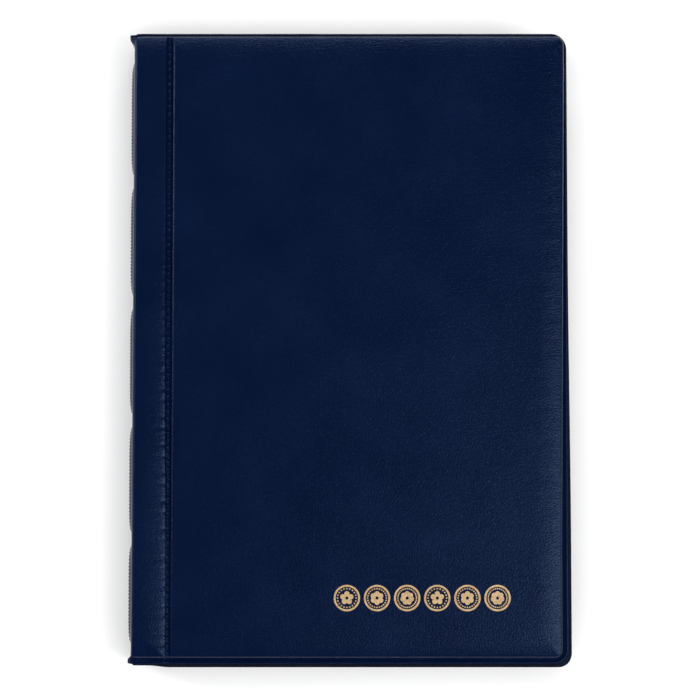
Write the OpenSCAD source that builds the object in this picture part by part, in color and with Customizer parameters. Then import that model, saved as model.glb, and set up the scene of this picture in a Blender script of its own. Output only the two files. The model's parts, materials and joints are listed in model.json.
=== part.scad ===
// Pocket coin album: a padded cover in three panels and eight clear leaves of coin pockets.
// It lies on its back cover. +Z is up through the thickness, +Y points to the head,
// the spine is at -X, and the origin is at the middle of the underside.

/* [Cover] */
// Width over the spine and the fore edge
album_w = 128; // [120:1:150]
// Height from tail to head
album_h = 185; // [180:1:220]
// Thickness of one padded cover
cover_t = 3.4; // [3:0.1:5]
// Radius of the fore-edge corners
corner_r = 4.5; // [3:0.5:8]
// Width of the welded border along head, fore edge and tail
border_w = 2; // [1.5:0.1:3]
// Distance from the fold to the middle of the hinge weld
hinge_weld_x = 9.6; // [8:0.1:12]
// Width of the hinge weld groove
hinge_weld_w = 2; // [1.5:0.1:3]
// How far the padded edge rolls in towards the face
edge_roll = 2.4; // [1:0.1:3]
// Thickness of the outer vinyl
skin_t = 0.4; // [0.3:0.05:0.6]
// Thickness of the inner lining
lining_t = 0.25; // [0.2:0.05:0.4]
// Thickness of the greyboard stiffener
board_t = 1.3; // [1:0.1:1.5]

/* [Spine] */
// How far the padded spine compartments stand out from the fold
bulge = 0.9; // [0.5:0.1:1.2]
// Height of a fold's turning axis above the outer face
fold_h = 2.4; // [2.4:0.1:3]
// Middle of each weld band across the spine, from the tail up
bands_y = [-88, -56, -21.5, 13, 48.5, 85.5];
// Width of a weld band
band_w = 4.5; // [3:0.5:6]
// Thickness of the binding strip that holds the leaves
strip_t = 0.8; // [0.6:0.1:1]

/* [Leaves] */
// Number of leaves
leaf_count = 8; // [2:1:8]
// Distance between two leaves in the closed album
leaf_pitch = 1.75; // [1.7:0.05:2.5]
// Thickness of the clear film
film_t = 0.15; // [0.1:0.01:0.2]
// Inner depth of a coin pocket
pocket_gap = 1.3; // [1:0.1:1.4]
// Width of one pocket
pocket_w = 35; // [30:1:36]
// Height of one row of pockets
row_h = 42; // [38:1:44]
// Columns of pockets
columns = 3; // [1:1:3]
// Rows of pockets
rows = 4; // [1:1:4]
// Width of a weld seam
seam_w = 1.6; // [1:0.1:2.5]
// Radius of the thumb cut at a pocket's mouth
thumb_r = 9; // [5:0.5:12]
// Plain margin between a leaf's hinge line and its first seam
leaf_margin = 10; // [10:0.5:14]

/* [Foil ornament] */
// Number of stamped coin discs in the row
disc_count = 6; // [3:1:6]
// Radius of one disc
disc_r = 3.8; // [2:0.1:5]
// Distance between two discs
disc_pitch = 8.7; // [8:0.1:12]
// Distance from the row's middle to the fore edge
ornament_x = 42.9; // [35:0.1:60]
// Distance from the row's middle to the tail
ornament_y = 19.5; // [12:0.5:60]
// Thickness of the foil
foil_t = 0.05; // [0.02:0.01:0.1]

/* [Hidden] */
$fn = 48;
play = 0.1;
clearance = 0.3;
edge_x = album_w / 2;
crest_x = -edge_x;
wall_x = crest_x + bulge;
fold_x = wall_x + 1.5;
panel_x = fold_x + fold_h + clearance;
weld_x = wall_x + hinge_weld_x;
block_t = leaf_count * leaf_pitch + 2 * play;
album_t = 2 * cover_t + block_t;
inner_face = cover_t - lining_t;
strip_x = wall_x + skin_t + lining_t;
root_x = fold_x + 3;
leaf_t = 2 * film_t + pocket_gap;
leaf_h = rows * row_h + 2 * border_w;
tab_end = root_x - clearance;
tab_t = 2 * film_t;
bead_r = film_t;
leaf_corner_r = 3;
mouth_gap = 4;
face_half_h = album_h / 2 - border_w;
rim_w = 0.55;
dot_r = 0.22;
disc_color = "goldenrod";
vinyl = "midnightblue";
film = [0.8, 0.85, 0.9, 0.4];
LEAF_PIECES = ["sheet", "pockets", "seams"];

// Height of a leaf's underside: leaf 1 is next to the front cover
function leaf_z(k) = cover_t + play + (leaf_count - k) * leaf_pitch;

// Left end of a leaf's column of pockets
function column_x(c) = root_x + leaf_margin + c * pocket_w;

// Lower end of a row of pockets
function row_y(r) = -rows * row_h / 2 + r * row_h;

// ---- Shared shapes ----

// A panel seen from above, square at the spine and rounded at the fore edge
module panel_outline(x0, x1, half_h, r) {
    translate([x0, -half_h])
        square([x1 - x0 - r, 2 * half_h]);
    translate([x1 - 2 * r, -half_h + r])
        square([2 * r, 2 * (half_h - r)]);
    for (side = [-1, 1])
        translate([x1 - r, side * (half_h - r)])
            circle(r);
}

// A padded panel whose edge rolls in towards its outer face at z0
module pillow(x0, x1, half_h, z0, z1, r) {
    hull() {
        translate([0, 0, z0])
            linear_extrude(play)
                panel_outline(x0 + edge_roll / 2, x1 - edge_roll, half_h - edge_roll, r);
        translate([0, 0, z0 + edge_roll / 2])
            linear_extrude(z1 - z0 - edge_roll / 2)
                panel_outline(x0, x1, half_h, r);
    }
}

// The padded face, inset by some thickness on every side
module face_pillow(inset, z1) {
    pillow(weld_x + hinge_weld_w / 2 + inset, edge_x - border_w - inset,
        face_half_h - inset, inset, z1, corner_r - border_w);
}

// The padded strip between the fold and the hinge weld, inset by some thickness
module shoulder_pillow(inset, z1) {
    pillow(panel_x + inset, weld_x - hinge_weld_w / 2 - inset,
        face_half_h - inset, inset, z1, skin_t);
}

// Turns a piece of the back cover into the same piece of the front cover
module on_front() {
    translate([0, 0, album_t])
        mirror([0, 0, 1])
            children();
}

// ---- Cover layers, drawn as the back cover ----

// Outer vinyl: two padded fields, the hinge weld between them and the welded border
module skin_layer() {
    difference() {
        union() {
            face_pillow(0, inner_face);
            shoulder_pillow(0, inner_face);
            translate([0, 0, inner_face - skin_t])
                linear_extrude(skin_t)
                    panel_outline(panel_x, edge_x, album_h / 2, corner_r);
        }
        face_pillow(skin_t, inner_face + play);
        shoulder_pillow(skin_t, inner_face + play);
    }
}

// Foam between the vinyl and the board
module padding_layer() {
    face_pillow(skin_t, inner_face - board_t);
}

// Greyboard that stiffens the padded face
module board_layer() {
    board_inset = border_w + skin_t;
    translate([0, 0, inner_face - board_t])
        linear_extrude(board_t)
            panel_outline(weld_x + hinge_weld_w / 2 + skin_t, edge_x - board_inset,
                album_h / 2 - board_inset, corner_r - border_w);
}

// Foam strip beside the fold
module shoulder_layer() {
    shoulder_pillow(skin_t, inner_face);
}

// Inner lining, welded to the vinyl round the border and along the hinge weld
module lining_layer() {
    translate([0, 0, inner_face])
        linear_extrude(lining_t)
            panel_outline(panel_x, edge_x, album_h / 2, corner_r);
}

// ---- Back cover ----

module back_skin() {
    color(vinyl) skin_layer();
}

module back_padding() {
    color("lightyellow") padding_layer();
}

module back_board() {
    color("tan") board_layer();
}

module back_shoulder_pad() {
    color("lightyellow") shoulder_layer();
}

module back_lining() {
    color("navy") lining_layer();
}

// ---- Front cover ----

module front_skin() {
    color(vinyl) on_front() skin_layer();
}

module front_padding() {
    color("lightyellow") on_front() padding_layer();
}

module front_board() {
    color("tan") on_front() board_layer();
}

module front_shoulder_pad() {
    color("lightyellow") on_front() shoulder_layer();
}

module front_lining() {
    color("navy") on_front() lining_layer();
}

// One stamped disc: a plain rim, a ring of dots and a rosette with some petals
module coin_disc(petals) {
    dots = 4 * petals;
    difference() {
        circle(disc_r);
        circle(disc_r - rim_w);
    }
    for (i = [0 : dots - 1])
        rotate(i * 360 / dots)
            translate([disc_r - 2 * rim_w, 0])
                circle(dot_r);
    difference() {
        union() {
            for (i = [0 : petals - 1])
                rotate(90 + i * 360 / petals)
                    translate([disc_r * 0.32, 0])
                        circle(disc_r * 0.2);
            circle(disc_r * 0.27);
        }
        circle(disc_r * 0.12);
    }
}

module foil_ornament() {
    first_x = edge_x - ornament_x - (disc_count - 1) * disc_pitch / 2;
    color(disc_color)
        translate([first_x, ornament_y - album_h / 2, album_t])
            linear_extrude(foil_t)
                for (i = [0 : disc_count - 1])
                    translate([i * disc_pitch, 0])
                        coin_disc(5 + i % 3);
}

// ---- Spine ----

// The fold's round, clipped to a thickness inside the spine wall, in the XZ plane
module fold_round(inset) {
    intersection() {
        circle(fold_h - inset);
        translate([wall_x + inset - fold_x, -fold_h])
            square([2 * fold_h, fold_h]);
    }
}

// The two folds of the spine as extrusions along its height
module folds() {
    for (top = [0, 1])
        translate([fold_x, 0, top ? album_t - fold_h : fold_h])
            mirror([0, 0, top])
                rotate([90, 0, 0])
                    linear_extrude(album_h, center = true)
                        difference() {
                            fold_round(0);
                            fold_round(skin_t);
                        }
}

// A block in each compartment between two weld bands
module compartments(inset, depth) {
    z0 = fold_h + inset;
    for (i = [0 : len(bands_y) - 2]) {
        y0 = bands_y[i] + band_w / 2 + inset;
        y1 = bands_y[i + 1] - band_w / 2 - inset;
        translate([crest_x + inset, y0, z0])
            cube([depth - inset, y1 - y0, album_t - 2 * z0]);
    }
}

module spine_skin() {
    end_t = border_w * 0.7;
    color(vinyl)
        union() {
            difference() {
                union() {
                    translate([wall_x, -album_h / 2, fold_h])
                        cube([skin_t, album_h, album_t - 2 * fold_h]);
                    compartments(0, bulge + skin_t);
                }
                compartments(skin_t, bulge + 2 * skin_t);
            }
            for (side = [-1, 1])
                translate([crest_x, side * (album_h - end_t) / 2 - end_t / 2, fold_h])
                    cube([bulge + skin_t, end_t, album_t - 2 * fold_h]);
            folds();
        }
}

// Foam bolster in each spine compartment
module spine_padding() {
    color("lightyellow") compartments(skin_t, bulge + skin_t);
}

// Lining of the spine, welded to the vinyl at every band
module spine_lining() {
    color("navy")
        translate([wall_x + skin_t, -album_h / 2, fold_h])
            cube([lining_t, album_h, album_t - 2 * fold_h]);
}

// Strip that the leaf margins are welded to
module binding_strip() {
    color("lightsteelblue")
        translate([strip_x, -leaf_h / 2, cover_t])
            cube([strip_t, leaf_h, block_t]);
}

// The fixed end of each leaf's margin, from the binding strip to its hinge line
module leaf_tabs() {
    color(film)
        for (k = [1 : leaf_count])
            translate([strip_x + strip_t, -leaf_h / 2, leaf_z(k)])
                cube([tab_end - strip_x - strip_t, leaf_h, tab_t]);
}

// ---- Leaves ----

// Backing film of one leaf, with a bead along its hinge line
module leaf_sheet(k) {
    leaf_end = column_x(columns) + seam_w;
    color(film)
        union() {
            translate([0, 0, leaf_z(k)])
                linear_extrude(film_t)
                    panel_outline(root_x, leaf_end, leaf_h / 2, leaf_corner_r);
            translate([root_x, 0, leaf_z(k) + film_t / 2])
                rotate([90, 0, 0])
                    cylinder(leaf_h, bead_r, bead_r, center = true);
        }
}

// One strip of pocket film for each row, with a thumb cut at every mouth
module leaf_pockets(k) {
    strip_w = columns * pocket_w + seam_w;
    strip_h = row_h - mouth_gap;
    color(film)
        translate([0, 0, leaf_z(k) + leaf_t - film_t])
            linear_extrude(film_t)
                for (r = [0 : rows - 1])
                    difference() {
                        translate([column_x(0) - seam_w / 2, row_y(r) - seam_w / 2])
                            square([strip_w, strip_h + seam_w / 2]);
                        for (c = [0 : columns - 1])
                            translate([column_x(c + 0.5), row_y(r) + strip_h])
                                circle(thumb_r);
                    }
}

// The weld seams that close each pocket at its two sides and its foot
module leaf_seams(k) {
    foot_w = pocket_w - seam_w - 2 * play;
    color(film)
        translate([0, 0, leaf_z(k) + film_t]) {
            for (c = [0 : columns])
                translate([column_x(c) - seam_w / 2, row_y(0) - seam_w / 2, 0])
                    cube([seam_w, rows * row_h - mouth_gap + seam_w / 2, pocket_gap]);
            for (r = [0 : rows - 1], c = [0 : columns - 1])
                translate([column_x(c) + seam_w / 2 + play, row_y(r) - seam_w / 2, 0])
                    cube([foot_w, seam_w, pocket_gap]);
        }
}

back_skin();
back_padding();
back_board();
back_shoulder_pad();
back_lining();
spine_skin();
spine_padding();
spine_lining();
binding_strip();
leaf_tabs();
front_skin();
front_padding();
front_board();
front_shoulder_pad();
front_lining();
foil_ornament();
for (k = [1 : leaf_count]) {
    leaf_sheet(k);
    leaf_pockets(k);
    leaf_seams(k);
}
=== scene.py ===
"""Looks of the pocket coin album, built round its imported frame.

Lengths are millimetres until a mesh is made. Angles are radians unless a name says degrees."""
import json
import math

import bmesh
import bpy
import numpy as np
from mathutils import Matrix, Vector


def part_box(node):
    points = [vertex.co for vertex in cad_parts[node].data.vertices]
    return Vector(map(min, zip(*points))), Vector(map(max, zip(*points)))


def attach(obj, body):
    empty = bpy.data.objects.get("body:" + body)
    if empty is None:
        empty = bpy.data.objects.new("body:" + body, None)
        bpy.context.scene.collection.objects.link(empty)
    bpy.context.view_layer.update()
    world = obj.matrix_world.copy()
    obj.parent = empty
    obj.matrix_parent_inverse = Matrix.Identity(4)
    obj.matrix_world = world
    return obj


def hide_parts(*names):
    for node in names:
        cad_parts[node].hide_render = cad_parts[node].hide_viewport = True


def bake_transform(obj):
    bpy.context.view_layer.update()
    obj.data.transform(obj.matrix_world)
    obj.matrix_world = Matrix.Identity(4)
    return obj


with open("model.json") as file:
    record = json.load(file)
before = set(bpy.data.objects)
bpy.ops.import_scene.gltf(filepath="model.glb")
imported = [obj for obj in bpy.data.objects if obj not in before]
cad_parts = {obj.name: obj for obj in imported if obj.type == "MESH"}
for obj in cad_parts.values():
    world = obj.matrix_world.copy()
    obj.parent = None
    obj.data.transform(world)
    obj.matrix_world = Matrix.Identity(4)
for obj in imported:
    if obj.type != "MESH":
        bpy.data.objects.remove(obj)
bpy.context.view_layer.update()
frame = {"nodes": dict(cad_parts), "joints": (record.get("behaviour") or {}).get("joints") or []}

MM = 0.001
TAU = 2 * math.pi


# ---- Sizes, read from the frame ----

def box_mm(node):
    """A CAD node's lowest and highest corners in millimetres."""
    low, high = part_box(node)
    return np.array(low) / MM, np.array(high) / MM


def hinge_mm(name):
    """Where a hinge's axis crosses the XZ plane, in millimetres."""
    joint = next(j for j in frame["joints"] if j["name"] == name)
    return joint["pos_m"][0] / MM, joint["pos_m"][2] / MM


EDGE_X, HALF_H, ALBUM_T = box_mm("front_skin")[1]
lining_low = box_mm("front_lining")[0]
board_low, board_high = box_mm("front_board")
bolster_low, bolster_high = box_mm("spine_padding")
wall_low, wall_high = box_mm("spine_lining")
foil_low, foil_high = box_mm("foil_ornament")
seams_low, seams_high = box_mm("leaf_1_seams")
leaf_edge_x, leaf_half_h = box_mm("leaf_1_sheet")[1][:2]
tabs_x = box_mm("leaf_tabs")[0][0]
crest_x = box_mm("spine_skin")[0][0]

WELD_TO_BOARD = 1.4  # from the hinge weld's middle to the board's edge
FOLD_REACH = 3.6  # from the hinge to where the fold's skin gives way to the cover's
COVER_T = ALBUM_T - lining_low[2]
FOLD_X = hinge_mm("front_cover_hinge")[0]
ROOT_X = hinge_mm("leaf_1_hinge")[0]
BOARD_W = board_high[2] - lining_low[2]
WELD_X = board_low[0] - WELD_TO_BOARD
STRIP_X = FOLD_X + FOLD_REACH
VINYL_T = 0.32
LINING_T = 0.26
FILM_CLEAR = 0.04  # how far a skin's underside stays above the lining
LEAVES = 8


# ---- Numbers with a shape ----

def smooth(value, low, high):
    """0 at low, 1 at high, and a smooth step between; low may be above high."""
    t = np.clip((value - low) / (high - low), 0, 1)
    return t * t * (3 - 2 * t)


def hump(value, middle, width):
    """A bell of height 1."""
    return np.exp(-((value - middle) / width) ** 2)


def rise(t):
    """A quarter circle: steep at 0, level at 1, and 1 beyond."""
    return np.sqrt(1 - (1 - np.clip(t, 0, 1)) ** 2)


def ripple(x, y, waves):
    """Sine waves added up, each an amplitude, a wavelength, a direction in degrees and a phase."""
    total = np.zeros(np.broadcast(x, y).shape)
    for amplitude, length, degrees, phase in waves:
        along = x * math.cos(math.radians(degrees)) + y * math.sin(math.radians(degrees))
        total = total + amplitude * np.sin(TAU * along / length + phase)
    return total


def graded(start, end, fine, coarse, ramp):
    """Stations from start to end, close together at both ends and wider apart in the middle."""
    stations = [0.0]
    length = end - start
    while stations[-1] < length:
        near = max(min(stations[-1], length - stations[-1]), 0.0)
        stations.append(stations[-1] + fine + (coarse - fine) * min(near / ramp, 1.0))
    return start + np.array(stations) * length / stations[-1]


def even(start, end, step):
    """Evenly spaced stations, about step apart."""
    return np.linspace(start, end, max(int(round(abs(end - start) / step)), 1) + 1)


def xyz(*parts):
    """Broadcasts coordinates into one array of points."""
    return np.stack(np.broadcast_arrays(*parts), -1).astype(float)


# ---- Meshes ----

SHARP_ANGLE = math.radians(50)


class Mesh:
    """Collects grids of points, each with its place on the material's own surface, into one mesh."""

    def __init__(self):
        self.points = []
        self.places = []
        self.faces = []
        self.count = 0

    def add(self, points, places):
        """Takes in a grid of points and gives back their indices."""
        rows, columns = points.shape[:2]
        flat = np.zeros((rows * columns, 3))
        places = np.broadcast_to(places, (rows, columns, places.shape[-1]))
        flat[:, : places.shape[-1]] = places.reshape(rows * columns, -1)
        self.points.append(points.reshape(-1, 3))
        self.places.append(flat)
        index = self.count + np.arange(rows * columns).reshape(rows, columns)
        self.count += rows * columns
        return index

    def skin(self, index, flip=False):
        """Faces over a grid of indices."""
        quads = np.stack([index[:-1, :-1], index[:-1, 1:], index[1:, 1:], index[1:, :-1]], -1)
        quads = quads.reshape(-1, 4)
        self.faces += (quads[:, ::-1] if flip else quads).tolist()

    def film(self, points, places):
        """One open sheet."""
        self.skin(self.add(points, places))

    def shell(self, outer, inner, places):
        """A closed solid between two sheets."""
        top = self.add(outer, places)
        under = self.add(inner, places)
        self.skin(top)
        self.skin(under, flip=True)
        for a, b in ((top[0], under[0]), (under[-1], top[-1]),
                     (under[:, 0], top[:, 0]), (top[:, -1], under[:, -1])):
            self.skin(np.stack([b, a]))

    def tube(self, rings, places):
        """A closed solid swept through rings, one ring to a row."""
        index = self.add(rings, places)
        self.skin(np.concatenate([index, index[:, :1]], 1))
        self.faces.append(index[0].tolist())
        self.faces.append(index[-1][::-1].tolist())

    def make(self, name, material, closed=True):
        """The finished object, in metres. A closed one gets its normals turned outwards."""
        mesh = bpy.data.meshes.new(name)
        mesh.from_pydata((np.concatenate(self.points) * MM).tolist(), [], self.faces)
        place = mesh.attributes.new("surface_mm", "FLOAT_VECTOR", "POINT")
        place.data.foreach_set("vector", np.concatenate(self.places).astype(np.float32).ravel())
        if closed:
            work = bmesh.new()
            work.from_mesh(mesh)
            bmesh.ops.recalc_face_normals(work, faces=work.faces)
            work.to_mesh(mesh)
            work.free()
        mesh.polygons.foreach_set("use_smooth", np.ones(len(mesh.polygons), bool))
        mesh.set_sharp_from_angle(angle=SHARP_ANGLE)
        mesh.materials.append(material)
        mesh.update()
        piece = bpy.data.objects.new(name, mesh)
        bpy.context.collection.objects.link(piece)
        return piece


# ---- Materials ----

def set_stops(ramp, stops):
    """Puts (position, colour) stops on a colour ramp that still has its first two."""
    while len(ramp.elements) < len(stops):
        ramp.elements.new(0.5)
    for element, (position, color) in zip(ramp.elements, stops):
        element.position = position
        element.color = (*color, 1)


class Nodes:
    """A material's node tree, with short ways to add and join nodes."""

    def __init__(self, name):
        self.material = bpy.data.materials.new(name)
        self.material.use_nodes = True
        self.tree = self.material.node_tree
        self.shader = self.tree.nodes["Principled BSDF"]

    def join(self, socket, value):
        """Links a socket to another, or sets its value."""
        if isinstance(value, bpy.types.NodeSocket):
            self.tree.links.new(value, socket)
        else:
            socket.default_value = value

    def add(self, kind, inputs, **settings):
        """Adds a node. Each input is a value or another node's socket."""
        node = self.tree.nodes.new(kind)
        for key, value in settings.items():
            setattr(node, key, value)
        for key, value in inputs.items():
            self.join(node.inputs[key], value)
        return node

    def calc(self, operation, a, b=0.0, c=0.0):
        """One step of arithmetic on numbers."""
        return self.add("ShaderNodeMath", {0: a, 1: b, 2: c}, operation=operation).outputs[0]

    def mix(self, *terms):
        """A weighted sum of (value, weight) pairs."""
        total = 0.0
        for value, weight in terms:
            total = self.calc("MULTIPLY_ADD", value, weight, total)
        return total

    def surface(self):
        """Millimetres over the material's own surface, which stays put when the piece bends."""
        return self.add("ShaderNodeAttribute", {}, attribute_name="surface_mm").outputs["Vector"]

    def solid(self):
        """Millimetres in the piece's own space."""
        where = self.add("ShaderNodeTexCoord", {}).outputs["Object"]
        return self.scaled(where, (1 / MM,) * 3)

    def scaled(self, vector, scale):
        """A vector or colour times a scale."""
        return self.add("ShaderNodeVectorMath", {0: vector, 1: scale}, operation="MULTIPLY").outputs[0]

    def noise(self, vector, period, detail=3.0, roughness=0.5, distortion=0.0):
        """Fractal noise from 0 to 1, with its largest features about period apart."""
        inputs = {"Vector": vector, "Scale": 1 / period, "Detail": detail, "Roughness": roughness,
                  "Distortion": distortion}
        return self.add("ShaderNodeTexNoise", inputs).outputs["Fac"]

    def cells(self, vector, period):
        """Distance to the edge of irregular cells."""
        inputs = {"Vector": vector, "Scale": 1 / period}
        return self.add("ShaderNodeTexVoronoi", inputs, feature="DISTANCE_TO_EDGE").outputs["Distance"]

    def ramp(self, value, *stops):
        """A colour for a value, from (position, colour) stops."""
        node = self.add("ShaderNodeValToRGB", {"Fac": value})
        set_stops(node.color_ramp, stops)
        return node.outputs["Color"]

    def spread(self, value, low, high, start=0.0, end=1.0):
        """Maps start..end to low..high, and holds it there beyond."""
        inputs = {"Value": value, "From Min": start, "From Max": end, "To Min": low, "To Max": high}
        return self.add("ShaderNodeMapRange", inputs).outputs["Result"]

    def bump(self, height, depth_mm):
        """A surface normal from a height of 0 to 1."""
        return self.add("ShaderNodeBump", {"Height": height, "Distance": depth_mm * MM}).outputs["Normal"]

    def finish(self, **values):
        """Sets the shader's sockets by name and gives back the material."""
        for key, value in values.items():
            self.join(self.shader.inputs[key.replace("_", " ")], value)
        return self.material


RIM_DEPTH = 50.0  # the third surface coordinate where the vinyl's outer rim is painted dark as shade, and made matt; it is 0 elsewhere
# How much the painted shade darkens the rim's colour, and how much rougher it makes the rim.
RIM_SHADE = 0.85
RIM_MATT = 0.4
GLOSS_RANGE = 0.09
VINYL_SPECULAR = 0.34
VINYL_HIGHLIGHT = (0.44, 0.65, 1.0, 1.0)


def vinyl(name, deep, raised, gloss, grain, depth):
    """Embossed vinyl: irregular cells, a fine tooth, hair creases, a faint mottle, and painted shade that
    darkens the rim.
    """
    n = Nodes(name)
    spot = n.surface()
    where = n.scaled(spot, (1.0, 1.0, 0.0))
    warp_inputs = {"Vector": where, "Scale": 0.6 / grain, "Detail": 2.0}
    warp = n.add("ShaderNodeTexNoise", warp_inputs).outputs["Color"]
    bent = n.add("ShaderNodeVectorMath", {0: warp, 1: (0.8 * grain,) * 3, 2: where},
                 operation="MULTIPLY_ADD").outputs[0]
    pebble = n.spread(n.cells(bent, grain), 0, 1, 0, 0.32)
    tooth = n.noise(where, period=0.28 * grain, detail=4.0, roughness=0.6)
    lengthened = n.scaled(where, (0.2, 1.0, 1.0))
    creases = n.noise(lengthened, period=0.75, detail=5.0, roughness=0.62, distortion=0.6)
    height = n.mix((pebble, 0.45), (tooth, 0.35), (creases, 1.1))
    mottle = n.noise(where, period=22.0, detail=3.0, roughness=0.55)
    speckle = n.noise(where, period=0.6, detail=5.0, roughness=0.7)
    tone = n.mix((mottle, 0.7), (speckle, 0.3))
    rough = n.spread(n.mix((speckle, 0.55), (mottle, 0.45)), gloss - GLOSS_RANGE, gloss + GLOSS_RANGE)
    rim = n.spread(n.add("ShaderNodeSeparateXYZ", {0: spot}).outputs["Z"], 0, 1, 0, RIM_DEPTH)
    # Painted shade: the rim's colour is darkened and made matt, except at specks that stay lit.
    painted_rim_shade = n.calc("MULTIPLY", rim, n.spread(speckle, 1, 0, 0.54, 0.62))
    clean = n.ramp(tone, (0.32, deep), (0.68, raised))
    color = n.scaled(clean, n.calc("MULTIPLY_ADD", painted_rim_shade, -RIM_SHADE, 1.0))
    return n.finish(Base_Color=color, Roughness=n.calc("MULTIPLY_ADD", painted_rim_shade, RIM_MATT, rough),
                    Specular_IOR_Level=VINYL_SPECULAR, Specular_Tint=VINYL_HIGHLIGHT,
                    Normal=n.bump(height, depth))


def foam_material():
    """Open-cell foam: small pores and a soft change of tone."""
    n = Nodes("foam")
    where = n.surface()
    pores = n.spread(n.cells(where, period=0.5), 0, 1, 0, 0.3)
    soft = n.noise(where, period=3.0, detail=4.0)
    tone = n.mix((pores, 0.6), (soft, 0.4))
    return n.finish(Base_Color=n.ramp(tone, (0.2, (0.42, 0.40, 0.34)), (0.8, (0.74, 0.72, 0.64))),
                    Roughness=0.95, Normal=n.bump(pores, 0.2))


def board_material():
    """Greyboard: long fibres and small flecks."""
    n = Nodes("greyboard")
    where = n.solid()
    lengthened = n.scaled(where, (0.25, 1.6, 1.0))
    fibres = n.noise(lengthened, period=0.7, detail=6.0, roughness=0.7, distortion=1.2)
    flecks = n.noise(where, period=0.9, detail=4.0, roughness=0.8)
    tone = n.mix((fibres, 0.6), (flecks, 0.4))
    return n.finish(Base_Color=n.ramp(tone, (0.3, (0.17, 0.155, 0.135)), (0.7, (0.34, 0.32, 0.285))),
                    Roughness=0.9, Normal=n.bump(fibres, 0.06))


def strip_material():
    """Thick binding vinyl with pressed bars."""
    n = Nodes("binding_vinyl")
    where = n.solid()
    bars = n.add("ShaderNodeTexWave", {"Vector": where, "Scale": 0.31, "Distortion": 0.0},
                 bands_direction="Y").outputs["Fac"]
    tooth = n.noise(where, period=0.35, detail=4.0, roughness=0.6)
    return n.finish(Base_Color=n.ramp(tooth, (0.3, (0.0025, 0.0075, 0.028)), (0.7, (0.005, 0.013, 0.043))),
                    Roughness=n.spread(tooth, 0.3, 0.5),
                    Normal=n.bump(n.mix((bars, 1.0), (tooth, 0.2)), 0.12))


def clear_material(name, tint, alpha, rough, scale):
    """Clear film: a faint tint, soft orange peel and drawn lines in its gloss."""
    n = Nodes(name)
    where = n.surface()
    peel = n.noise(where, period=2.2 * scale)
    drawn = n.noise(n.scaled(where, (1.0, 0.06, 1.0)), period=0.9 * scale, roughness=0.6)
    haze = n.noise(where, period=14.0)
    bright = tuple(min(channel * 1.12, 1.0) for channel in tint)
    return n.finish(Base_Color=n.ramp(haze, (0.3, tint), (0.7, bright)), Alpha=alpha,
                    Roughness=n.spread(n.mix((haze, 0.5), (drawn, 0.5)), rough - 0.04, rough + 0.06),
                    Normal=n.bump(n.mix((peel, 0.7), (drawn, 0.3)), 0.04 * scale))


def gold_material():
    """Hot-stamped foil: bright gold broken up by the vinyl's grain, with worn specks."""
    n = Nodes("gold_foil")
    where = n.solid()
    crackle = n.noise(where, period=0.34, detail=5.0, roughness=0.75, distortion=0.5)
    patches = n.noise(where, period=2.6, roughness=0.6)
    wear = n.mix((crackle, 0.75), (patches, 0.25))
    worn, dull, bright = (0.14, 0.075, 0.028), (0.40, 0.25, 0.115), (0.66, 0.47, 0.26)
    color = n.ramp(wear, (0.34, worn), (0.42, dull), (0.60, bright))
    return n.finish(Base_Color=color, Metallic=n.spread(wear, 0.1, 0.35, 0.34, 0.46),
                    Roughness=n.spread(crackle, 0.3, 0.5), Normal=n.bump(crackle, 0.05))


cover_vinyl = vinyl("cover_vinyl", deep=(0.0003, 0.0033, 0.0195), raised=(0.0007, 0.0049, 0.0260),
                    gloss=0.26, grain=0.80, depth=0.058)
lining_vinyl = vinyl("lining_vinyl", deep=(0.0020, 0.0066, 0.0265), raised=(0.0033, 0.0092, 0.034),
                     gloss=0.46, grain=1.5, depth=0.035)
foam = foam_material()
greyboard = board_material()
binding_vinyl = strip_material()
clear_film = clear_material("clear_film", tint=(0.72, 0.78, 0.83), alpha=0.2, rough=0.12, scale=1.0)
pocket_film = clear_material("pocket_film", tint=(0.78, 0.83, 0.87), alpha=0.24, rough=0.10, scale=1.3)
welded_film = clear_material("welded_film", tint=(0.80, 0.85, 0.90), alpha=0.5, rough=0.26, scale=0.4)
gold_foil = gold_material()


# ---- The cover's section ----
# In a cover's own frame x and y are the album's, and w is the height over the face that the leaves touch.

BORDER = 2.05
CORNER_R = 4.6
FOOT_W = 0.50
PAD_ROUND, PAD_CROWN, CROWN_SHARE = 0.75, 8.5, 0.28
BEAD_PITCH = 0.92
BEAD_D, BEAD_WIDE, BEAD_RISE = 0.15, 0.12, 0.12
CROSS_WELD_X, CROSS_WELD_DEPTH = WELD_X + 0.5, 0.22

# The border's section: (distance in from the edge, height).
BORDER_TOP = [(0.0, 0.36), (0.04, 0.50), (0.15, 0.60), (0.27, 0.52), (0.38, 0.58), (0.52, 0.76), (0.72, 0.88),
              (0.95, 0.86), (1.20, 0.76), (1.50, 0.60), (1.75, 0.50), (2.30, 0.48)]
BORDER_UNDER = [(2.30, LINING_T + 0.02), (1.20, LINING_T + 0.02), (0.10, LINING_T + 0.02)]


def pad_rise(d):
    """Height of the padding at distance d in from its foot: a round shoulder, then a slow crown."""
    slow = 1 - (1 - np.clip(d / PAD_CROWN, 0, 1)) ** 2.5
    return FOOT_W + (COVER_T - FOOT_W) * ((1 - CROWN_SHARE) * rise(d / PAD_ROUND) + CROWN_SHARE * slow)


def end_rise(d):
    """Height of the padding at distance d in from the head or tail edge."""
    return pad_rise(d - BORDER)


def place(x, y, w, front):
    """Points of a cover's own frame in the album's frame."""
    return xyz(x, y, ALBUM_T - COVER_T + w if front else COVER_T - w)


def inset(x, y, x1, half_h, radius):
    """Distance in from the head, fore and tail edges, which meet in round corners."""
    to_right = x1 - x
    to_end = half_h - np.abs(y)
    cx, cy = radius - to_right, radius - to_end
    corner = radius - np.hypot(np.maximum(cx, 0), np.maximum(cy, 0))
    return np.where((cx > 0) & (cy > 0), corner, np.minimum(to_right, to_end))


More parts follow.
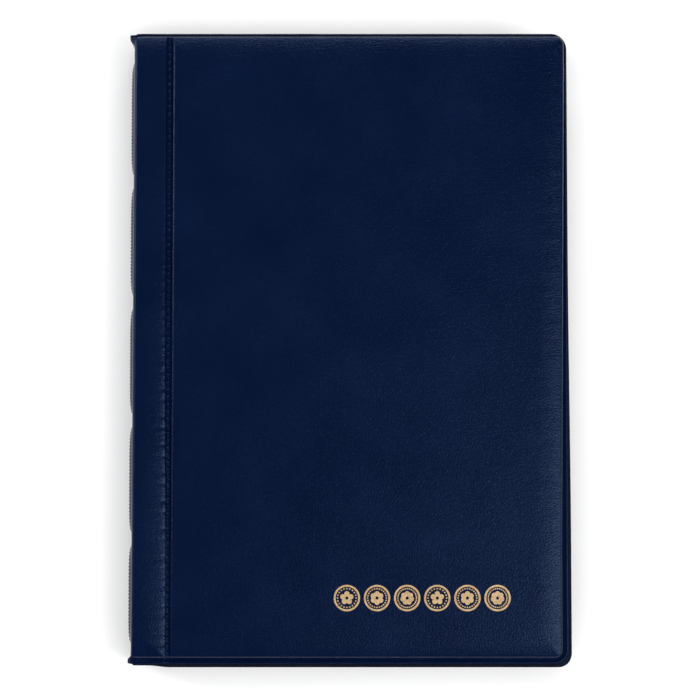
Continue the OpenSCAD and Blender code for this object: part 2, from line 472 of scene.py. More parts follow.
def rounded(x, y, x1, half_h, radius, block=14.0):
    """Bends the two fore-edge corners of a square grid so that its rows follow round corners."""
    radius = np.broadcast_to(radius, np.shape(x))
    p = (x - (x1 - block)) / block
    q = (np.abs(y) - (half_h - block)) / block
    inside = (p > 0) & (q > 0)
    t = np.maximum(np.maximum(p, q), 1e-9)
    r = np.minimum(radius / block * t ** 1.5, t)
    leg = t - r
    run = np.clip(np.minimum(p, q), 0, None) / t * (leg + math.pi * r / 4)
    angle = np.clip((run - leg) / np.maximum(r, 1e-9), 0, math.pi / 4)
    major = np.where(run < leg, t, leg + r * np.cos(angle))
    minor = np.where(run < leg, run, leg + r * np.sin(angle))
    new_x = x1 - block + np.where(p >= q, major, minor) * block
    new_y = np.sign(y) * (half_h - block + np.where(p >= q, minor, major) * block)
    return np.where(inside, new_x, x), np.where(inside, new_y, y)


# ---- Cover pieces ----

HEAD_SHIFT = 1.1
HEAD_SHIFT_FROM, HEAD_SHIFT_TO = 55, 85
FORE_SHIFT = 1.35
FORE_SHIFT_FROM, FORE_SHIFT_SPAN = -60, 140
FACE_SHIFT_FROM, FACE_SHIFT_TO = 5, 50


def fore_shift(y):
    """How far the padding has crept towards the fore edge, which is most at the head."""
    return FORE_SHIFT * np.clip((y - FORE_SHIFT_FROM) / FORE_SHIFT_SPAN, 0, 1)


def settle(x, y):
    """Where padding has crept to in its sheath: nearer to the head edge and to the upper fore edge."""
    return (x + fore_shift(y) * smooth(x, FACE_SHIFT_FROM, FACE_SHIFT_TO),
            y + HEAD_SHIFT * smooth(y, HEAD_SHIFT_FROM, HEAD_SHIFT_TO))


def unsettle(y):
    """Undoes settle in y, closely near the head, where the two skins meet."""
    return y - HEAD_SHIFT * smooth(y, HEAD_SHIFT_FROM, HEAD_SHIFT_TO + 1)


PAD_X = WELD_X + 1.7
PAD_FOOT_W = 2.3
PAD_EDGE_X = EDGE_X - BORDER
PAD_HALF_H = HALF_H - BORDER
PAD_R = CORNER_R - BORDER
HINGE_SIDE_ROUND, HINGE_SIDE_CROWN = 0.8, 10
STAMP_FLAT, STAMP_FADE_X, STAMP_FADE_Y = 1, 7, 6
FACE_DROP, SLACK_DROP = 0.012, 0.056
EDGE_CREASE_SHARE = 0.35

# Waves for ripple: amplitude, wavelength, direction and phase.
FACE_WAVES = [(0.022, 61, 24, 0.4), (0.018, 43, 108, 2.1), (0.010, 27, 61, 4.0), (0.006, 19, 160, 1.3)]
EDGE_WAVES = [(0.045, 9.3, 83, 0.2), (0.03, 5.1, 96, 1.9), (0.018, 3.2, 88, 4.4), (0.010, 2.1, 92, 2.7)]
BORDER_WAVES = [(0.05, 37, 0, 0.5), (0.04, 21, 0, 2.2), (0.02, 9, 0, 1.0)]
LINING_WAVES = [(0.03, 47, 33, 0.9), (0.02, 29, 118, 2.6)]
SPINE_WAVES = [(0.05, 17, 20, 0.3), (0.03, 8.3, -35, 1.4), (0.02, 4.1, 60, 2.2)]
HINGE_WAVES = [(0.018, 4.1, 88, 0.4), (0.014, 2.7, 96, 2.0), (0.009, 1.6, 84, 1.1)]


def stamped(x, y):
    """1 over the stamped row, where the vinyl lies flat under the foil, and 0 away from it."""
    middle = (foil_low + foil_high) / 2
    half = (foil_high - foil_low) / 2
    over = smooth(np.abs(x - middle[0]), half[0] + STAMP_FADE_X, half[0] + STAMP_FLAT)
    return over * smooth(np.abs(y - middle[1]), half[1] + STAMP_FADE_Y, half[1] + STAMP_FLAT)


def face_w(x, y):
    """Height of the large padded field."""
    d = inset(x, y, PAD_EDGE_X, PAD_HALF_H, PAD_R)
    d_hinge = np.maximum(x - PAD_X, 0)
    crown = 1 - (1 - np.clip(d_hinge / HINGE_SIDE_CROWN, 0, 1)) ** 2
    from_hinge = 0.75 * rise(d_hinge / HINGE_SIDE_ROUND) + 0.25 * crown
    hinge_side = PAD_FOOT_W + (COVER_T - PAD_FOOT_W) * from_hinge
    slack = (ripple(x, y, FACE_WAVES) - SLACK_DROP) * smooth(d, 0.6, 6) * smooth(d_hinge, 0.3, 6)
    near_edge = smooth(PAD_EDGE_X - x, 15, 2) * smooth(d, 0.5, 3)
    creases = ripple(x, y, EDGE_WAVES) * EDGE_CREASE_SHARE * near_edge
    loose = 1 - stamped(x, y)
    return np.minimum(pad_rise(d), hinge_side) + (slack + creases) * loose - FACE_DROP


def face_grid(margin, fine, coarse):
    """A grid over the padded field, margin in from its foot."""
    x1, half_h = PAD_EDGE_X - margin, PAD_HALF_H - margin
    xs = graded(PAD_X + margin, x1, fine, coarse, ramp=9)
    x, y = np.meshgrid(xs, graded(-half_h, half_h, fine, coarse, ramp=5))
    return rounded(x, y, x1, half_h, PAD_R - margin * 0.5)


def side_name(front, rest):
    """A cover piece's name."""
    return ("front_" if front else "back_") + rest


def padding(x, y, top, under, front, name, material):
    """A settled layer of a cover between two heights over a grid."""
    mesh = Mesh()
    mesh.shell(place(*settle(x, y), top, front), place(*settle(x, y), under, front), xyz(x, y))
    return mesh.make(side_name(front, name), material)


def cover_face(front):
    """The large padded field of vinyl, crowned, and rolled down to its foot all round."""
    x, y = face_grid(margin=0.0, fine=0.16, coarse=0.75)
    w = face_w(x, y)
    under = np.maximum(w - VINYL_T, LINING_T + FILM_CLEAR)
    return padding(x, y, w, under, front, "face", cover_vinyl)


def face_foam(front):
    """The foam sheet under the padded field, with the same crown."""
    x, y = face_grid(margin=0.7, fine=0.5, coarse=2.5)
    top = np.maximum(face_w(x, y) - VINYL_T - 0.05, BOARD_W + 0.1)
    return padding(x, y, top, BOARD_W + 0.02 + 0 * top, front, "foam", foam)


def outline(x0):
    """Points, inward normals and lengths round a cover's edge from x0 at the head to x0 at the tail."""
    straight = EDGE_X - CORNER_R - x0
    side = 2 * (HALF_H - CORNER_R)
    arc = math.pi * CORNER_R / 2
    s = even(0, 2 * (straight + arc) + side, BEAD_PITCH / 5)
    turn = np.clip((s - straight) / CORNER_R, 0, math.pi / 2) \
        + np.clip((s - straight - arc - side) / CORNER_R, 0, math.pi / 2)
    nx, ny = -np.sin(turn), -np.cos(turn)
    run_out = np.minimum(s, straight)
    run_down = np.clip(s - straight - arc, 0, side)
    run_back = np.clip(s - straight - 2 * arc - side, 0, None)
    x = x0 + run_out - run_back - CORNER_R * nx * (turn > 0)
    y = HALF_H - CORNER_R - run_down - CORNER_R * ny
    return x, y, nx, ny, s


def border_w(d, s):
    """Height of the welded border at distance d in from the edge and s along it, with its row of beads."""
    level = np.interp(d, *zip(*BORDER_TOP))
    return level + BEAD_RISE * hump(d, BEAD_D, BEAD_WIDE) * np.cos(TAU * s / BEAD_PITCH)


def cover_border(front):
    """The welded border: outer ridge, row of beads and channel, one closed section swept round the edge."""
    x, y, nx, ny, s = outline(STRIP_X)
    d = np.array([p[0] for p in BORDER_UNDER + BORDER_TOP])[None, :]
    first = len(BORDER_UNDER)
    top = border_w(d[:, first:], s[:, None])
    under = np.broadcast_to([p[1] for p in BORDER_UNDER], (len(s), first))
    wander = ripple(s, 0 * s, BORDER_WAVES)[:, None]
    cross_weld = CROSS_WELD_DEPTH * hump(x, CROSS_WELD_X, 0.6)[:, None]
    top = top + (wander * smooth(d, 1.9, 0.5) - cross_weld)[:, first:]
    w = np.concatenate([under, np.maximum(top, LINING_T + FILM_CLEAR)], 1)
    crept = -nx * fore_shift(y) - ny * HEAD_SHIFT * (ny < 0)
    reach = d * (1 - crept / BORDER_TOP[-1][0])[:, None]
    px, py = x[:, None] + nx[:, None] * reach, y[:, None] + ny[:, None] * reach
    mesh = Mesh()
    # The third surface coordinate paints shade on the border's outermost rim.
    mesh.tube(place(px, py, w, front), xyz(px, py, RIM_DEPTH * smooth(d, 0.75, 0.45)))
    return mesh.make(side_name(front, "border"), cover_vinyl)


STITCH_PITCH = 2.12
STITCH_LONG = 0.62
STITCH_WIDE = 0.28
STITCH_RISE = 0.68
STITCH_BASE = 0.1
BETWEEN_SHARE = 0.4
STITCH_X = WELD_X + 0.82
WELD_W = 2.15
RIDGE_D, RIDGE_WIDE, RIDGE_RISE = 1.4, 0.22, 0.6
STRIP_FOOT_X = WELD_X + 0.05
STRIP_CREEP = 0.6
STRIP_ROUND = 0.45
STRIP_LEVEL = 0.8  # from the hinge to where the strip starts to lean


def strip_foot(y):
    """Where the padded strip meets the weld. It has crept over the channel's near side at the tail."""
    return STRIP_FOOT_X + STRIP_CREEP * smooth(y, 20, -70)


def stitches(x, y):
    """1 on the raised stitches of the hinge weld, with a fainter one between each two."""
    beat = (y / STITCH_PITCH + 0.02 * np.sin(y / 7)) % 1.0
    half = STITCH_LONG / STITCH_PITCH / 2
    stitch = smooth(np.abs(beat - 0.5), half + 0.08, half - 0.06)
    between = BETWEEN_SHARE * smooth(np.abs(beat - 0.5), 0.40, 0.5)
    along = STITCH_BASE + (1 - STITCH_BASE) * np.maximum(stitch, between)
    return hump(x, STITCH_X, STITCH_WIDE) * along


def weld_w(x, y):
    """Height across the hinge weld: a channel with a row of raised stitches, and a thin ridge beside it."""
    u = x - WELD_X
    ridge = RIDGE_RISE * hump(u, RIDGE_D, RIDGE_WIDE)
    return WELD_W + STITCH_RISE * stitches(x, y) + ridge + (PAD_FOOT_W - WELD_W) * smooth(u, 1.25, 1.75)


def shoulder_w(x, y):
    """Height of the padded strip between the fold and the hinge weld.

    It leans down to the weld and creases there, and more so towards the tail."""
    foot = strip_foot(y)
    lean = 0.18 + 0.48 * smooth(y, 50, -60)
    lean_x = FOLD_X + STRIP_LEVEL
    top = COVER_T - 0.03 - lean * np.clip((x - lean_x) / (foot - lean_x), 0, 1) ** 1.9
    d = np.clip(foot - x, 0, None)
    top = top - (0.09 + 0.27 * smooth(y, 40, -40)) * np.exp(-d / 0.6)
    creases = ripple(x, y, HINGE_WAVES) * smooth(x, FOLD_X + 2, foot - 1) * (1 + 1.5 * hump(d, 0.5, 0.8))
    creases = creases * (0.25 + 0.75 * smooth(y, 70, -50))
    return WELD_W + (top + creases - WELD_W) * rise(d / STRIP_ROUND)


def hinge_strip(front):
    """The padded strip and the hinge weld beside it."""
    fine_x = WELD_X - 1.6
    xs = np.concatenate([even(STRIP_X, fine_x, 0.35)[:-1], even(fine_x, PAD_X + 0.25, 0.09)])
    end = HALF_H - BORDER + 0.15
    x, y = np.meshgrid(xs, even(-end, end, STITCH_PITCH / 8))
    weld = weld_w(x, y)
    w = np.where(x < strip_foot(y), np.maximum(shoulder_w(x, y), weld), weld)
    w = np.minimum(w, end_rise(HALF_H - np.abs(y)))
    under = np.maximum(w - VINYL_T, LINING_T + FILM_CLEAR)
    return padding(x, y, w, under, front, "hinge_strip", cover_vinyl)


def shoulder_foam(front):
    """The foam inside the padded strip."""
    end = HALF_H - 2.8
    x, y = np.meshgrid(even(STRIP_X + 0.1, STRIP_FOOT_X - STRIP_ROUND, 0.4), even(-end, end, 2.0))
    top = np.minimum(shoulder_w(x, 0 * y), end_rise(HALF_H - np.abs(y))) - VINYL_T - 0.08
    return padding(x, y, top, LINING_T + 0.06 + 0 * top, front, "shoulder_foam", foam)


LIP_X, LIP_Y = 0.45, 0.5
TAIL_CORNER = 0.75


def cover_lining(front):
    """The lining that faces the leaves, welded round the edge.

    Its trimmed edge stands a little proud of the skin at the tail and the lower fore edge."""
    x1, half_h = EDGE_X + 0.04, HALF_H + 0.02
    fine, coarse, ramp = 0.14, 1.6, 6
    x, y = np.meshgrid(graded(STRIP_X, x1, fine, coarse, ramp), graded(-half_h, half_h, fine, coarse, ramp))
    radius = CORNER_R - TAIL_CORNER * (y < 0)
    rim = smooth(inset(x, y, x1, half_h, 0.5), 6, 0)
    x, y = rounded(x, y, x1, half_h, radius)
    low = smooth(y, 30, -60)
    x = x + LIP_X * rim * low * smooth(x, 20, EDGE_X)
    y = y - LIP_Y * rim * smooth(y, -86, -HALF_H) * smooth(x, STRIP_X, STRIP_X + 6)
    d = np.maximum(inset(x, y, x1 + LIP_X * low, half_h + LIP_Y * low, CORNER_R - TAIL_CORNER * low), 0)
    weld = 0.16 * hump(d, 1.3, 0.4) + 0.13 * hump(x, WELD_X, 0.5) * smooth(d, 1.0, 2.0)
    bulge = ripple(x, y, LINING_WAVES) * smooth(d, 2, 12)
    w = np.maximum(0.05 + weld + bulge, 0.0) + 0.06 * smooth(d, 0.3, 0.0)
    back = np.maximum(LINING_T - 0.04 * smooth(d, 0.3, 0.0), w + 0.04)
    mesh = Mesh()
    # The third surface coordinate paints shade on the lining's trimmed rim.
    mesh.shell(place(x, y, back, front), place(x, y, w, front), xyz(x, y, RIM_DEPTH * smooth(d, 0.85, 0.5)))
    return mesh.make(side_name(front, "lining_film"), lining_vinyl)


# ---- Spine ----

PINCH = 0.05
RIB_RISE, RIB_DROP, RIB_WIDE = 0.12, 3.1, 0.8
SEAM_DEPTH, SEAM_DROP, SEAM_WIDE = 0.1, 1.9, 0.35
SKIN_TO_WALL = 0.45
WALL_X = wall_low[0] - SKIN_TO_WALL
BULGE = WALL_X - crest_x
ROLL_X, ROLL_Z = 1.25, 1.55
CUT_DROP = 2.9  # how far below a cover's face its fold gives way to the spine's wall
SPINE_BEAD = 1.0
WELD_BAND = 1.6
HEAD_EAR_LONG, TAIL_EAR_LONG = 4.6, 3.2
HEAD_EAR, TAIL_EAR = 1.35, 0.95
EAR_TUCK = 0.0075
BOLSTER_GAP, BOLSTER_LONG = 2.5, 12  # the least of each


def bolsters():
    """The (low, high) ends of each foam bolster in the spine, from its CAD solids."""
    ys = sorted({round(v.co.y / MM, 1) for v in frame["nodes"]["spine_padding"].data.vertices})
    gaps = [i for i in range(1, len(ys)) if ys[i] - ys[i - 1] > BOLSTER_GAP]
    edges = [ys[0], *[y for i in gaps for y in (ys[i - 1], ys[i])], ys[-1]]
    return [(a, b) for a, b in zip(edges, edges[1:]) if b - a > BOLSTER_LONG]


BOLSTERS = bolsters()


def compartment(y):
    """Fullness of the spine at y: 1 in the middle of a padded compartment, 0 at the pinched bands."""
    full = np.zeros(np.shape(y))
    for low, high in BOLSTERS:
        t = np.clip(np.abs(2 * y - low - high) / (high - low + WELD_BAND), 0, 1)
        full = np.maximum(full, (1 - t ** 6) ** 0.5)
    return full


def ear(y):
    """1 at the welded ends of the spine, which stand out as small ears."""
    return smooth(np.abs(y), HALF_H - np.where(y > 0, HEAD_EAR_LONG, TAIL_EAR_LONG), HALF_H - 0.9)


def spine_out(y, drop):
    """How far the spine's skin stands out from the fold line at depth drop below a cover's face."""
    full = compartment(y)
    body = smooth(drop, 1.1, 3.4)
    rib = RIB_RISE * hump(drop, RIB_DROP, RIB_WIDE) * np.cos(TAU * y / SPINE_BEAD)
    seam = SEAM_DEPTH * hump(drop, SEAM_DROP, SEAM_WIDE)
    sag = ripple(y, drop, SPINE_WAVES) * smooth(drop, 3, 6)
    ears = np.where(y > 0, HEAD_EAR, TAIL_EAR) * ear(y) * smooth(drop, 0.5, 2.0)
    return (BULGE * body + rib - seam + sag) * full - PINCH * (1 - full) + ears


def spine_section():
    """The spine's section from a cover's strip round the fold to mid-wall: x, drop, and length."""
    flat = even(STRIP_X, WALL_X + ROLL_X, 0.35)
    turn = np.linspace(0, math.pi / 2, 14)[1:]
    corner = ALBUM_T - ROLL_Z
    coarse_z = corner - 3.2
    down = np.concatenate([even(corner, coarse_z, 0.22)[1:], even(coarse_z, ALBUM_T / 2, 0.75)[1:]])
    x = np.concatenate([flat, WALL_X + ROLL_X * (1 - np.sin(turn) ** 0.9), np.full(len(down), WALL_X)])
    drop = np.concatenate([0 * flat, ROLL_Z * (1 - np.clip(np.cos(turn), 0, 1) ** 0.9), ALBUM_T - down])
    length = np.concatenate([[0], np.cumsum(np.hypot(np.diff(x), np.diff(drop)))])
    return x, drop, length


def spine_half(front, y):
    """Outer points, inner points and surface places of half the spine's skin."""
    x, drop, length = spine_section()
    y = y[:, None]
    pad_y = unsettle(y)
    strip = shoulder_w(np.minimum(x, STRIP_X + 0.2)[None, :], pad_y)
    strip = np.minimum(strip, end_rise(HALF_H - np.abs(pad_y)))
    lid = (COVER_T - strip) * smooth(drop, 1.6, 0.0)
    skin_x = x - spine_out(y, drop)
    depth = drop + lid
    flange = np.maximum(ear(y), 1 - compartment(y)) * smooth(drop, 1.8, 3.0)
    welded_x = np.maximum(skin_x + 0.1, wall_low[0] - 0.03)
    inner_x = skin_x + VINYL_T * smooth(x, WALL_X + ROLL_X, WALL_X)
    inner_x = inner_x * (1 - flange) + welded_x * flange
    inner_depth = depth + VINYL_T * smooth(drop, ROLL_Z, 0.2)
    across = STRIP_X - length if front else STRIP_X - 2 * length[-1] + length
    round_y = y * (1 - EAR_TUCK * ear(y) * smooth(skin_x, WALL_X + 2.5, WALL_X - 1.0) ** 1.5)
    outer = xyz(skin_x, round_y, ALBUM_T - depth if front else depth)
    inner = xyz(inner_x, round_y, ALBUM_T - inner_depth if front else inner_depth)
    return outer, inner, xyz(across[None, :], y), drop


def spine_rows():
    """Rows up the spine, close enough to carry its beading."""
    return even(-HALF_H, HALF_H, SPINE_BEAD / 4)


def fold(front):
    """The skin round one fold, from the cover's strip to the top of the spine's wall."""
    outer, inner, places, drop = spine_half(front, spine_rows())
    keep = int(np.searchsorted(drop, CUT_DROP)) + 1
    mesh = Mesh()
    mesh.shell(outer[:, :keep], inner[:, :keep], places[:, :keep])
    return mesh.make(side_name(front, "fold"), cover_vinyl)


def spine_wall():
    """The skin of the spine's wall, puffed over its bolsters and pinched at the bands."""
    halves = [spine_half(front, spine_rows()) for front in (True, False)]
    first = int(np.searchsorted(halves[0][3], CUT_DROP))
    joined = [np.concatenate([top[:, first:], low[:, first:-1][:, ::-1]], 1)
              for top, low in zip(halves[0][:3], halves[1][:3])]
    mesh = Mesh()
    mesh.shell(*joined)
    return mesh.make("spine_wall", cover_vinyl)


def spine_foam():
    """A crowned foam bolster inside each compartment of the spine."""
    mesh = Mesh()
    for low, high in BOLSTERS:
        y, z = np.meshgrid(even(low + 0.6, high - 0.6, 1.0), even(bolster_low[2], bolster_high[2], 0.7))
        drop = np.minimum(z, ALBUM_T - z)
        out = np.minimum(WALL_X - spine_out(y, drop) + VINYL_T + 0.12, wall_low[0] - 0.06)
        mesh.shell(xyz(out, y, z), xyz(wall_low[0] - 0.02 + 0 * y, y, z), xyz(z, y))
    return mesh.make("spine_foam", foam)


LINING_R, LINING_BACK_R = 0.35, 0.6
LINING_STEP = 0.3
LINING_LAP = 0.55


def lining_section(front):
    """The lining's section round a fold: x and z of its face and of its back."""
    top = lining_low[2]
    flat = even(STRIP_X, wall_high[0] + LINING_R, LINING_STEP)
    turn = np.linspace(0, math.pi / 2, 6)[1:]

    def section(wall_x, z, radius):
        """One surface: level, round the bend and down the wall."""
        bent = [(wall_x + radius * (1 - math.sin(a)), z - radius * (1 - math.cos(a))) for a in turn]
        return np.array([*((x, z) for x in flat), *bent, (wall_x, top - LINING_BACK_R)])

    face, back = section(wall_high[0], top, LINING_R), section(wall_low[0], top + LINING_T, LINING_BACK_R)
    if not front:
        face[:, 1] = ALBUM_T - face[:, 1]
        back[:, 1] = ALBUM_T - back[:, 1]
    return face, back


def lining_fold(front):
    """The lining round the inside of one fold."""
    face, back = lining_section(front)
    y = even(-HALF_H, HALF_H, 2.5)[:, None]
    places = xyz(np.arange(len(face))[None, :] * LINING_STEP, y)
    mesh = Mesh()
    mesh.shell(*(xyz(side[None, :, 0], y, side[None, :, 1]) for side in (back, face)), places)
    return mesh.make(side_name(front, "lining_fold"), lining_vinyl)


def wall_lining():
    """The lining up the inside of the spine, dimpled by the bands' welds."""
    z_low, z_high = ALBUM_T - lining_low[2] + LINING_LAP, lining_low[2] - LINING_LAP
    y, z = np.meshgrid(even(-HALF_H, HALF_H, 0.8), even(z_low, z_high, 0.8))
    dimple = 0.08 * (1 - compartment(y)) * smooth(np.minimum(z - z_low, z_high - z), 0, 1.5)
    mesh = Mesh()
    mesh.shell(xyz(wall_low[0] + 0 * y, y, z), xyz(wall_high[0] - dimple, y, z), xyz(z, y))
    return mesh.make("spine_lining_film", lining_vinyl)


# ---- Leaves ----

COLUMNS, ROWS = 3, 4
SEAM_W = 1.6
COLUMN_X = seams_low[0] + SEAM_W / 2
COLUMN = (seams_high[0] - seams_low[0] - SEAM_W) / COLUMNS
ROW_Y = seams_low[1] + SEAM_W / 2
STRIP_H = 38.0
ROW = (seams_high[1] - STRIP_H - ROW_Y) / (ROWS - 1)
PUFF = 0.85
PUFF_MOST = 1.25
THUMB_R = 9.0
THUMB_SHARE = 0.62
FILM_GAP = 0.09
SEAM_RISE, SEAM_EDGE = 0.22, 0.2
TREAD_STEP, TREAD_RISE = 0.55, 0.05
WAVE_SHIFT_X, WAVE_SHIFT_Y = 13, 29
LEAF_SHIFT = 40  # moves each leaf's surface coordinates on, so that no two leaves have the same flaws


def backing(k, level):
    """A leaf's backing film, from its weld on the binding strip across the root to its round fore corners."""
    coarse_x = ROOT_X + 6
    xs = np.concatenate([even(tabs_x, coarse_x, 0.7)[:-1], even(coarse_x, leaf_edge_x, 2.0)])
    x, y = np.meshgrid(xs, graded(-leaf_half_h, leaf_half_h, fine=0.8, coarse=2.6, ramp=6))
    x, y = rounded(x, y, leaf_edge_x, leaf_half_h, radius=3.0, block=8.0)
    waves = [(0.05, 71, 15, 0.4 * k), (0.04, 38, 100, 1.3 * k)]
    wave = ripple(x + WAVE_SHIFT_X * k, y + WAVE_SHIFT_Y * k, waves)
    mesh = Mesh()
    mesh.film(xyz(x, y, level + wave * smooth(x, ROOT_X, ROOT_X + 12)), xyz(x, y + LEAF_SHIFT * k))
    return mesh.make(f"leaf_{k}_backing", clear_film, closed=False)


def pockets(k, level):
    """The pocket films, welded down at the seams, slack between them, with a thumb cut at each mouth."""
    u = np.linspace(0, 1, 15)[None, :]
    v = np.concatenate([[0, 0.03], np.linspace(0.08, 1, 12)])[:, None]
    mesh = Mesh()
    for column in range(COLUMNS):
        for row in range(ROWS):
            slack = PUFF * (1 + 0.18 * math.sin(3.1 * k + 2.3 * column + 1.7 * row))
            x = COLUMN_X + COLUMN * (column + u)
            thumb = np.sqrt(np.maximum(THUMB_R ** 2 - (COLUMN * (u - 0.5)) ** 2, 0))
            cut = thumb * smooth(np.abs(u - 0.5), 0.27, 0.2)
            y = ROW_Y + ROW * row + v * (STRIP_H - cut * THUMB_SHARE)
            lift = slack * np.sin(math.pi * u) ** 0.7 * smooth(v, 0, 0.3) * (0.55 + 0.45 * v)
            z = level + FILM_GAP + np.minimum(lift, PUFF_MOST)
            mesh.film(xyz(x, y, z), xyz(x, y + LEAF_SHIFT * k + 7 * row, z * 0))
    return mesh.make(f"leaf_{k}_pocket_film", pocket_film, closed=False)


def seams(k, level):
    """The welded seams: flat ribbons of fused film with a fine ribbed tread."""
    mesh = Mesh()
    half = SEAM_W / 2

    def ribbon(x0, y0, x1, y1):
        """One seam over a rectangle, ribbed along its longer side."""
        upright = y1 - y0 > x1 - x0
        along = even(*((y0, y1) if upright else (x0, x1)), TREAD_STEP)[:, None]
        low, high = (x0, x1) if upright else (y0, y1)
        across = np.array([low, low + SEAM_EDGE, high - SEAM_EDGE, high])[None, :]
        tread = SEAM_RISE + TREAD_RISE * np.cos(np.arange(len(along)) * math.pi)[:, None]
        top = level + 0.02 + tread * np.array([0.5, 1.0, 1.0, 0.5])[None, :]
        points = xyz(across, along, top) if upright else xyz(along, across, top)
        under = points * [1, 1, 0] + [0, 0, level - 0.04]
        mesh.shell(points, under, points[..., :2] + [0, LEAF_SHIFT * k])

    for column in range(COLUMNS + 1):
        middle = COLUMN_X + COLUMN * column
        ribbon(middle - half, ROW_Y - half, middle + half, ROW_Y + ROW * (ROWS - 1) + STRIP_H)
    for row in range(ROWS):
        for column in range(COLUMNS):
            start = COLUMN_X + COLUMN * column + half
            foot = ROW_Y + ROW * row
            ribbon(start, foot - half, start + COLUMN - SEAM_W, foot + half)
    return mesh.make(f"leaf_{k}_weld_seams", welded_film)


# ---- Putting the pieces on their bodies, and baking in place those that cross a hinge ----

def put(piece, body, slot, *nodes):
    """A piece that rides on one body."""
    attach(piece, body)
    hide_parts(*nodes)
    return piece


def bend(piece, body_a, body_b, start, end, slot, *nodes):
    """A piece that crosses a hinge, baked in place where it stands, with its CAD nodes hidden."""
    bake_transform(piece)
    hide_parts(*nodes)
    return piece


# Spans along x from each hinge, handed to bend with the pieces that cross a hinge.
FOLD_END, LINING_END = 0.9, 1.0
ROOT_START, ROOT_END = -0.3, 3.5

for side, is_front in (("front", True), ("back", False)):
    body = side + "_cover"
    for piece in (cover_face(is_front), cover_border(is_front), hinge_strip(is_front)):
        put(piece, body, "cover_vinyl", side + "_skin")
    put(face_foam(is_front), body, "foam", side + "_padding")
    put(shoulder_foam(is_front), body, "foam", side + "_shoulder_pad")
    put(cover_lining(is_front), body, "lining_vinyl", side + "_lining")
    face_z = ALBUM_T if is_front else 0.0
    cut_z = ALBUM_T - CUT_DROP if is_front else CUT_DROP
    inner_z = lining_low[2] if is_front else ALBUM_T - lining_low[2]
    bend(fold(is_front), "spine", body, (WALL_X, 0, cut_z), (FOLD_X + FOLD_END, 0, face_z),
         "cover_vinyl", "spine_skin")
    bend(lining_fold(is_front), "spine", body, (wall_high[0], 0, inner_z), (FOLD_X + LINING_END, 0, inner_z),
         "lining_vinyl", side + "_lining", "spine_lining")

put(spine_wall(), "spine", "cover_vinyl", "spine_skin")
put(spine_foam(), "spine", "foam", "spine_padding")
put(wall_lining(), "spine", "lining_vinyl", "spine_lining")

for k in range(1, LEAVES + 1):
    level = hinge_mm(f"leaf_{k}_hinge")[1]
    leaf = f"leaf_{k}"
    bend(backing(k, level), "spine", leaf, (ROOT_X + ROOT_START, 0, level), (ROOT_X + ROOT_END, 0, level),
         "clear_film", leaf + "_sheet", "leaf_tabs")
    put(pockets(k, level), leaf, "clear_film", leaf + "_pockets")
    put(seams(k, level), leaf, "clear_film", leaf + "_seams")

KEPT_NODES = {"front_board": greyboard, "back_board": greyboard, "binding_strip": binding_vinyl,
              "foil_ornament": gold_foil}
for node, material in KEPT_NODES.items():
    frame["nodes"][node].data.materials.clear()
    frame["nodes"][node].data.materials.append(material)


# ---- Floor, lights and camera ----

FLOOR_REACH = 4.0
FILL_POWER = 2.6
FILL_ANGLE = math.radians(85)
FILL_TILT = math.radians(14)
LIGHT_AIM = Vector((0, 0, 0.01))
SKY = ((0.0, 0.95), (0.12, 0.90), (0.2, 0.32), (0.34, 0.10), (0.55, 0.0))


def floor():
    """A plain pale floor. Its lengths are in metres."""
    n = Nodes("floor")
    tone = n.noise(n.solid(), period=300.0, detail=2.0)
    n.finish(Base_Color=n.ramp(tone, (0.3, (0.88, 0.88, 0.88)), (0.7, (0.92, 0.92, 0.92))), Roughness=0.7)
    mesh = bpy.data.meshes.new("floor")
    corners = [(x * FLOOR_REACH, y * FLOOR_REACH, 0) for x, y in ((-1, -1), (1, -1), (1, 1), (-1, 1))]
    mesh.from_pydata(corners, [], [(0, 1, 2, 3)])
    mesh.materials.append(n.material)
    plane = bpy.data.objects.new("floor", mesh)
    bpy.context.collection.objects.link(plane)


def softbox(name, where, size, power):
    """A rectangular area light aimed at the album, in metres and watts."""
    lamp = bpy.data.lights.new(name, "AREA")
    lamp.shape = "RECTANGLE"
    lamp.size, lamp.size_y = size
    lamp.energy = power
    holder = bpy.data.objects.new(name, lamp)
    holder.location = where
    aim = LIGHT_AIM - Vector(where)
    holder.rotation_euler = aim.to_track_quat("-Z", "Y").to_euler()
    bpy.context.collection.objects.link(holder)


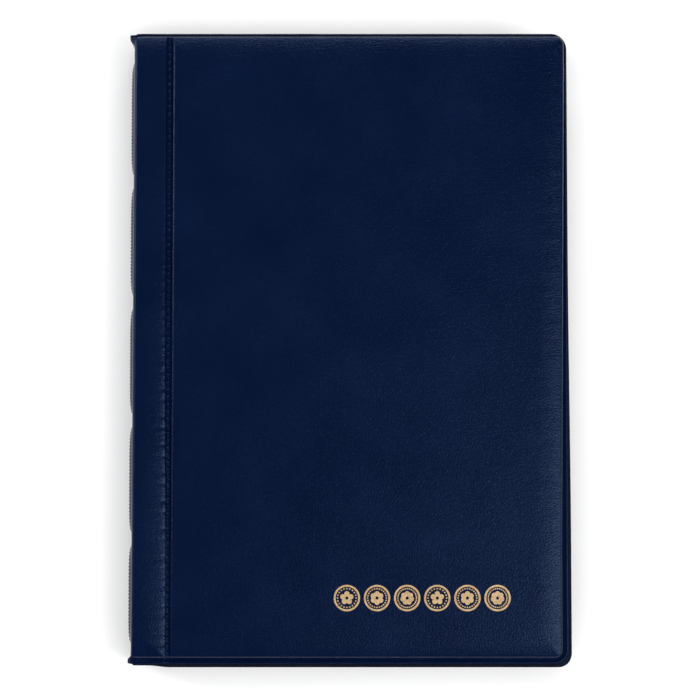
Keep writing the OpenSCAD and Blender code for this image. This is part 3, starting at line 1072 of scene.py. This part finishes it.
def studio():
    """A soft tent, bright towards the horizon and dim overhead, with soft boxes and an even fill.

    The fill has no highlight of its own, so the vinyl keeps its depth of colour."""
    fill = bpy.data.lights.new("overhead_fill", "SUN")
    fill.energy = FILL_POWER
    fill.angle = FILL_ANGLE
    sky = bpy.data.objects.new("overhead_fill", fill)
    sky.rotation_euler = (FILL_TILT, 0, 0)
    sky.visible_glossy = False
    bpy.context.collection.objects.link(sky)
    softbox("right_box", where=(0.66, -0.3, 1.0), size=(0.35, 0.8), power=5.2)
    softbox("left_box", where=(-1.05, 0.35, 0.62), size=(0.3, 1.0), power=5)
    softbox("head_box", where=(0.0, 1.0, 0.85), size=(0.9, 0.3), power=4.8)
    world = bpy.data.worlds.new("studio")
    world.use_nodes = True
    tree = world.node_tree
    where = tree.nodes.new("ShaderNodeTexCoord")
    parts = tree.nodes.new("ShaderNodeSeparateXYZ")
    ramp = tree.nodes.new("ShaderNodeValToRGB")
    set_stops(ramp.color_ramp, [(position, (tone,) * 3) for position, tone in SKY])
    tree.links.new(where.outputs["Generated"], parts.inputs[0])
    tree.links.new(parts.outputs["Z"], ramp.inputs[0])
    tree.links.new(ramp.outputs["Color"], tree.nodes["Background"].inputs["Color"])
    bpy.context.scene.world = world


# Metres, apart from the sensor's millimetres.
CAMERA_DISTANCE = 0.7
CAMERA_TILT = math.radians(4.2)
VIEW_WIDTH = 0.2036
AIM = (0.00025, -0.0012)
SENSOR_WIDTH = 36


def camera():
    """A long lens over the album, leaning a little towards the tail."""
    lens = bpy.data.cameras.new("camera")
    lens.sensor_width = SENSOR_WIDTH
    lens.lens = SENSOR_WIDTH * CAMERA_DISTANCE / VIEW_WIDTH
    holder = bpy.data.objects.new("camera", lens)
    target = Vector((*AIM, ALBUM_T * MM))
    holder.location = target + CAMERA_DISTANCE * Vector((0, -math.sin(CAMERA_TILT), math.cos(CAMERA_TILT)))
    holder.rotation_euler = (CAMERA_TILT, 0, 0)
    bpy.context.collection.objects.link(holder)
    bpy.context.scene.camera = holder


floor()
studio()
camera()
bpy.context.scene.view_settings.view_transform = "Standard"
